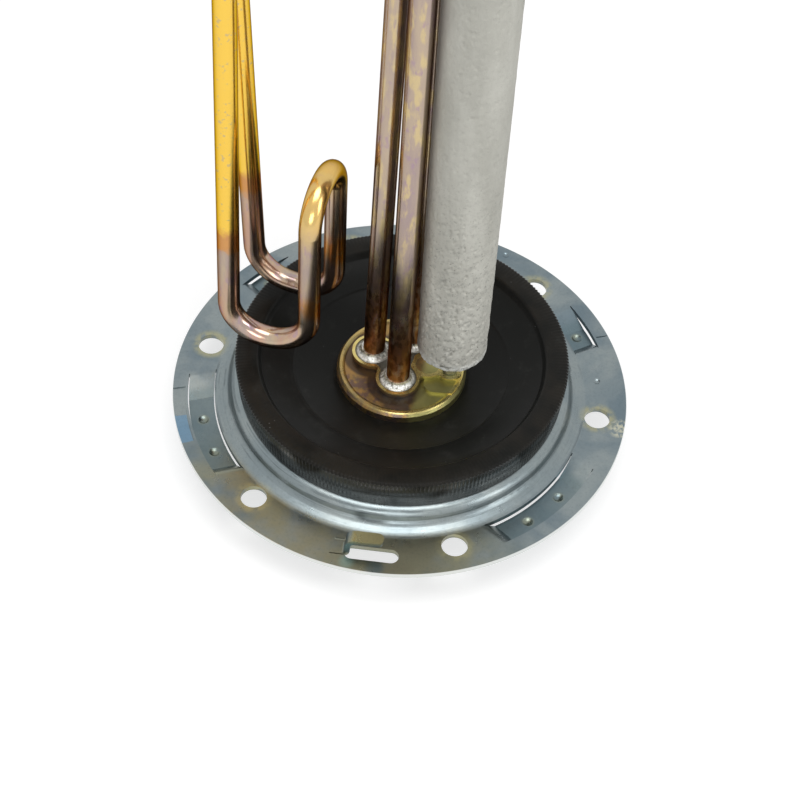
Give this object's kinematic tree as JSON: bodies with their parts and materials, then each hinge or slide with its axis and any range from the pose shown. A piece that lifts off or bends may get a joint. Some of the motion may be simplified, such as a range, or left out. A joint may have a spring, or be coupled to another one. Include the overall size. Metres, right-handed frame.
{
  "type": "water heater element",
  "caption": "Electric immersion heater on a round bolted flange: bent heating tube, thermostat pocket, anode rod and dish gasket.",
  "frame": {"origin": "centre of the bolt circle on the tank-side face of the flange ring", "axes": "+Z into the tank, along the anode; +X is 5.5 degrees short of the bolt hole that is set off the even spacing"},
  "size_m": [0.17, 0.17, 0.2866],
  "materials": {
    "zinc_steel": "zinc plated, faint yellow tint at the holes",
    "black_rubber": "smooth moulded",
    "plate_brass": "tarnished forging",
    "solder": "bright solder",
    "copper_tube": "drawn copper with heat tints",
    "magnesium": "cast, matt and pitted",
    "plated_steel": "zinc plated",
    "nut_brass": "machined",
    "white_ceramic": "unglazed",
    "tinned_tab": "tin plated"
  },
  "bodies": {
    "root": {"flange_plate": "zinc_steel", "sealing_gasket": "black_rubber", "element_plate": "plate_brass", "solder_bed": "solder", "heating_tube": "copper_tube", "thermostat_pocket": "copper_tube", "anode_rod": "magnesium", "anode_stud": "plated_steel", "clamp_washer": "plated_steel", "lock_nut": "nut_brass", "earth_tab": "tinned_tab", "terminal_bead_1": "white_ceramic", "terminal_bead_2": "white_ceramic", "terminal_pin_1": "plated_steel", "terminal_pin_2": "plated_steel", "terminal_tab_1": "tinned_tab", "terminal_tab_2": "tinned_tab"}
  },
  "joints": []
}
